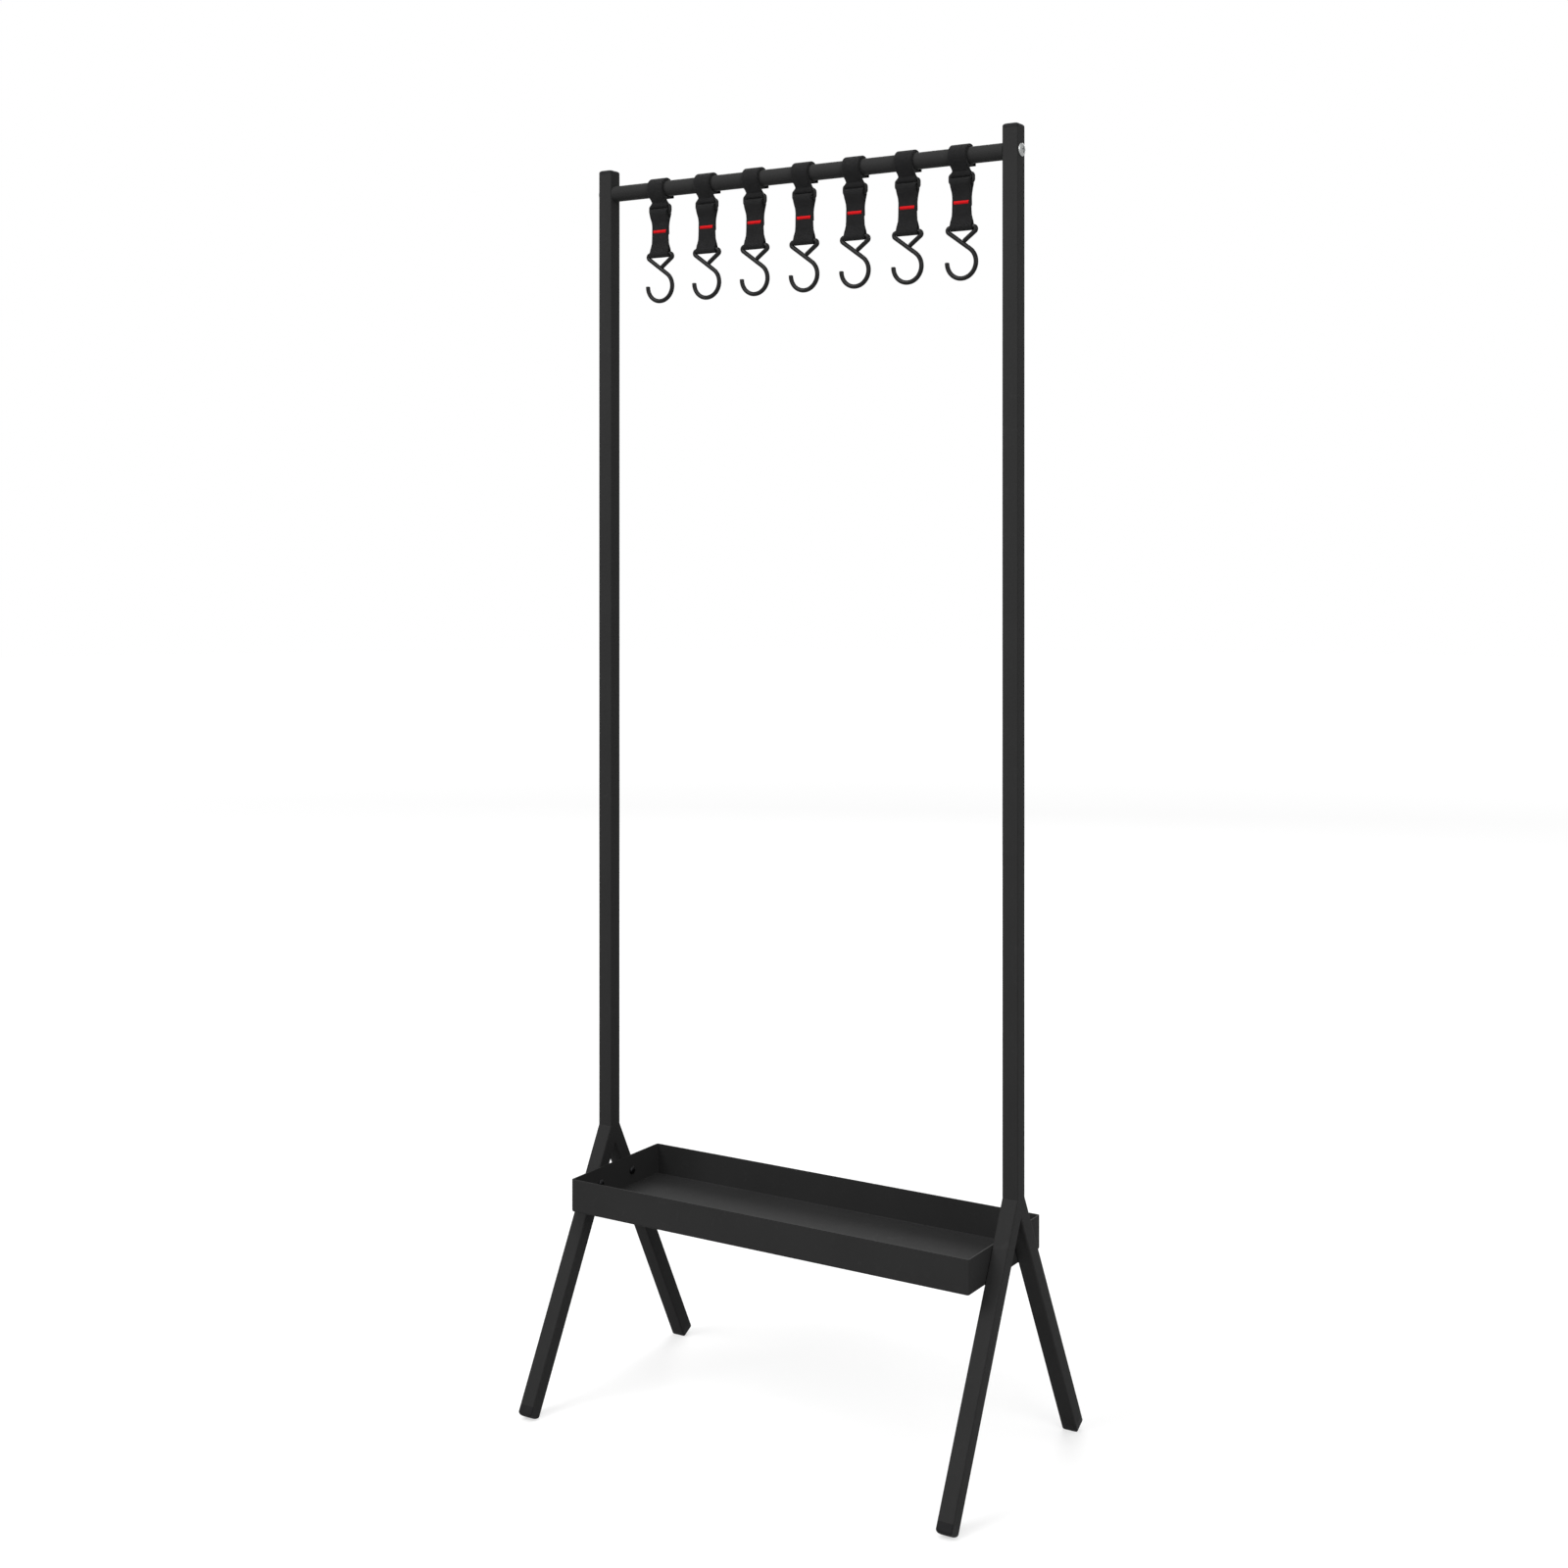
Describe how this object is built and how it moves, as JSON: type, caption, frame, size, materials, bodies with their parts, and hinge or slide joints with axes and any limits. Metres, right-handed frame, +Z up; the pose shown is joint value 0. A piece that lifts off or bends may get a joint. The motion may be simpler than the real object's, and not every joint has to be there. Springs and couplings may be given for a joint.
{
  "type": "racket display stand",
  "caption": "Free-standing rack of square tube on splayed legs, with a round bar of sliding strap hooks over a shallow tray.",
  "frame": {"origin": "on the floor, in the middle of the stand", "axes": "+Z up, +X along the bar to the right as seen from the front, front towards -Y"},
  "size_m": [0.457, 0.2612, 1.173],
  "materials": {
    "powder_coat": "satin charcoal powder coat",
    "plastic": "matte moulded black",
    "zinc": "bright zinc plate",
    "black_zinc": "black zinc plate",
    "webbing": "woven black polyester webbing",
    "red_thread": "sewn red thread",
    "black_wire": "semi-gloss black coated wire"
  },
  "bodies": {
    "root": {"left_post": "powder_coat", "left_post_plug": "plastic", "left_bar_bolt": "zinc", "left_bar_insert": "zinc", "left_front_leg": "powder_coat", "left_front_foot_cap": "plastic", "left_front_tray_screw": "black_zinc", "left_back_leg": "powder_coat", "left_back_foot_cap": "plastic", "left_back_tray_screw": "black_zinc", "right_post": "powder_coat", "right_post_plug": "plastic", "right_bar_bolt": "zinc", "right_bar_insert": "zinc", "right_front_leg": "powder_coat", "right_front_foot_cap": "plastic", "right_front_tray_screw": "black_zinc", "right_back_leg": "powder_coat", "right_back_foot_cap": "plastic", "right_back_tray_screw": "black_zinc", "hanging_bar": "powder_coat", "tray": "powder_coat"},
    "loop_1": {"strap_loop_1": "webbing"},
    "ring_1": {"link_ring_1": "black_wire"},
    "strap_1": {"lower_strap_1": "webbing", "bar_tack_1": "red_thread"},
    "hook_1": {"s_hook_1": "black_wire"},
    "loop_2": {"strap_loop_2": "webbing"},
    "ring_2": {"link_ring_2": "black_wire"},
    "strap_2": {"lower_strap_2": "webbing", "bar_tack_2": "red_thread"},
    "hook_2": {"s_hook_2": "black_wire"},
    "loop_3": {"strap_loop_3": "webbing"},
    "ring_3": {"link_ring_3": "black_wire"},
    "strap_3": {"lower_strap_3": "webbing", "bar_tack_3": "red_thread"},
    "hook_3": {"s_hook_3": "black_wire"},
    "loop_4": {"strap_loop_4": "webbing"},
    "ring_4": {"link_ring_4": "black_wire"},
    "strap_4": {"lower_strap_4": "webbing", "bar_tack_4": "red_thread"},
    "hook_4": {"s_hook_4": "black_wire"},
    "loop_5": {"strap_loop_5": "webbing"},
    "ring_5": {"link_ring_5": "black_wire"},
    "strap_5": {"lower_strap_5": "webbing", "bar_tack_5": "red_thread"},
    "hook_5": {"s_hook_5": "black_wire"},
    "loop_6": {"strap_loop_6": "webbing"},
    "ring_6": {"link_ring_6": "black_wire"},
    "strap_6": {"lower_strap_6": "webbing", "bar_tack_6": "red_thread"},
    "hook_6": {"s_hook_6": "black_wire"},
    "loop_7": {"strap_loop_7": "webbing"},
    "ring_7": {"link_ring_7": "black_wire"},
    "strap_7": {"lower_strap_7": "webbing", "bar_tack_7": "red_thread"},
    "hook_7": {"s_hook_7": "black_wire"}
  },
  "joints": [
    {"name": "loop_slide_1", "type": "slide", "parent": "root", "child": "loop_1", "axis": [1, 0, 0], "range_m": [-0.035, 0.01]},
    {"name": "ring_swing_1", "type": "hinge", "parent": "loop_1", "child": "ring_1", "pos_m": [-0.1566, 0, 1.1343], "axis": [1, 0, 0], "range_deg": [-50, 50]},
    {"name": "strap_swing_1", "type": "hinge", "parent": "ring_1", "child": "strap_1", "pos_m": [-0.1566, 0, 1.1268], "axis": [1, 0, 0], "range_deg": [-45, 45]},
    {"name": "hook_swing_1", "type": "hinge", "parent": "strap_1", "child": "hook_1", "pos_m": [-0.1566, 0, 1.0877], "axis": [1, 0, 0], "range_deg": [-90, 90]},
    {"name": "loop_slide_2", "type": "slide", "parent": "root", "child": "loop_2", "axis": [1, 0, 0], "range_m": [-0.01, 0.01]},
    {"name": "ring_swing_2", "type": "hinge", "parent": "loop_2", "child": "ring_2", "pos_m": [-0.1026, 0, 1.1343], "axis": [1, 0, 0], "range_deg": [-50, 50]},
    {"name": "strap_swing_2", "type": "hinge", "parent": "ring_2", "child": "strap_2", "pos_m": [-0.1026, 0, 1.1268], "axis": [1, 0, 0], "range_deg": [-45, 45]},
    {"name": "hook_swing_2", "type": "hinge", "parent": "strap_2", "child": "hook_2", "pos_m": [-0.1026, 0, 1.0877], "axis": [1, 0, 0], "range_deg": [-90, 90]},
    {"name": "loop_slide_3", "type": "slide", "parent": "root", "child": "loop_3", "axis": [1, 0, 0], "range_m": [-0.01, 0.01]},
    {"name": "ring_swing_3", "type": "hinge", "parent": "loop_3", "child": "ring_3", "pos_m": [-0.0486, 0, 1.1343], "axis": [1, 0, 0], "range_deg": [-50, 50]},
    {"name": "strap_swing_3", "type": "hinge", "parent": "ring_3", "child": "strap_3", "pos_m": [-0.0486, 0, 1.1268], "axis": [1, 0, 0], "range_deg": [-45, 45]},
    {"name": "hook_swing_3", "type": "hinge", "parent": "strap_3", "child": "hook_3", "pos_m": [-0.0486, 0, 1.0877], "axis": [1, 0, 0], "range_deg": [-90, 90]},
    {"name": "loop_slide_4", "type": "slide", "parent": "root", "child": "loop_4", "axis": [1, 0, 0], "range_m": [-0.01, 0.01]},
    {"name": "ring_swing_4", "type": "hinge", "parent": "loop_4", "child": "ring_4", "pos_m": [0.0054, 0, 1.1343], "axis": [1, 0, 0], "range_deg": [-50, 50]},
    {"name": "strap_swing_4", "type": "hinge", "parent": "ring_4", "child": "strap_4", "pos_m": [0.0054, 0, 1.1268], "axis": [1, 0, 0], "range_deg": [-45, 45]},
    {"name": "hook_swing_4", "type": "hinge", "parent": "strap_4", "child": "hook_4", "pos_m": [0.0054, 0, 1.0877], "axis": [1, 0, 0], "range_deg": [-90, 90]},
    {"name": "loop_slide_5", "type": "slide", "parent": "root", "child": "loop_5", "axis": [1, 0, 0], "range_m": [-0.01, 0.01]},
    {"name": "ring_swing_5", "type": "hinge", "parent": "loop_5", "child": "ring_5", "pos_m": [0.0594, 0, 1.1343], "axis": [1, 0, 0], "range_deg": [-50, 50]},
    {"name": "strap_swing_5", "type": "hinge", "parent": "ring_5", "child": "strap_5", "pos_m": [0.0594, 0, 1.1268], "axis": [1, 0, 0], "range_deg": [-45, 45]},
    {"name": "hook_swing_5", "type": "hinge", "parent": "strap_5", "child": "hook_5", "pos_m": [0.0594, 0, 1.0877], "axis": [1, 0, 0], "range_deg": [-90, 90]},
    {"name": "loop_slide_6", "type": "slide", "parent": "root", "child": "loop_6", "axis": [1, 0, 0], "range_m": [-0.01, 0.01]},
    {"name": "ring_swing_6", "type": "hinge", "parent": "loop_6", "child": "ring_6", "pos_m": [0.1134, 0, 1.1343], "axis": [1, 0, 0], "range_deg": [-50, 50]},
    {"name": "strap_swing_6", "type": "hinge", "parent": "ring_6", "child": "strap_6", "pos_m": [0.1134, 0, 1.1268], "axis": [1, 0, 0], "range_deg": [-45, 45]},
    {"name": "hook_swing_6", "type": "hinge", "parent": "strap_6", "child": "hook_6", "pos_m": [0.1134, 0, 1.0877], "axis": [1, 0, 0], "range_deg": [-90, 90]},
    {"name": "loop_slide_7", "type": "slide", "parent": "root", "child": "loop_7", "axis": [1, 0, 0], "range_m": [-0.01, 0.024]},
    {"name": "ring_swing_7", "type": "hinge", "parent": "loop_7", "child": "ring_7", "pos_m": [0.1674, 0, 1.1343], "axis": [1, 0, 0], "range_deg": [-50, 50]},
    {"name": "strap_swing_7", "type": "hinge", "parent": "ring_7", "child": "strap_7", "pos_m": [0.1674, 0, 1.1268], "axis": [1, 0, 0], "range_deg": [-45, 45]},
    {"name": "hook_swing_7", "type": "hinge", "parent": "strap_7", "child": "hook_7", "pos_m": [0.1674, 0, 1.0877], "axis": [1, 0, 0], "range_deg": [-90, 90]}
  ]
}
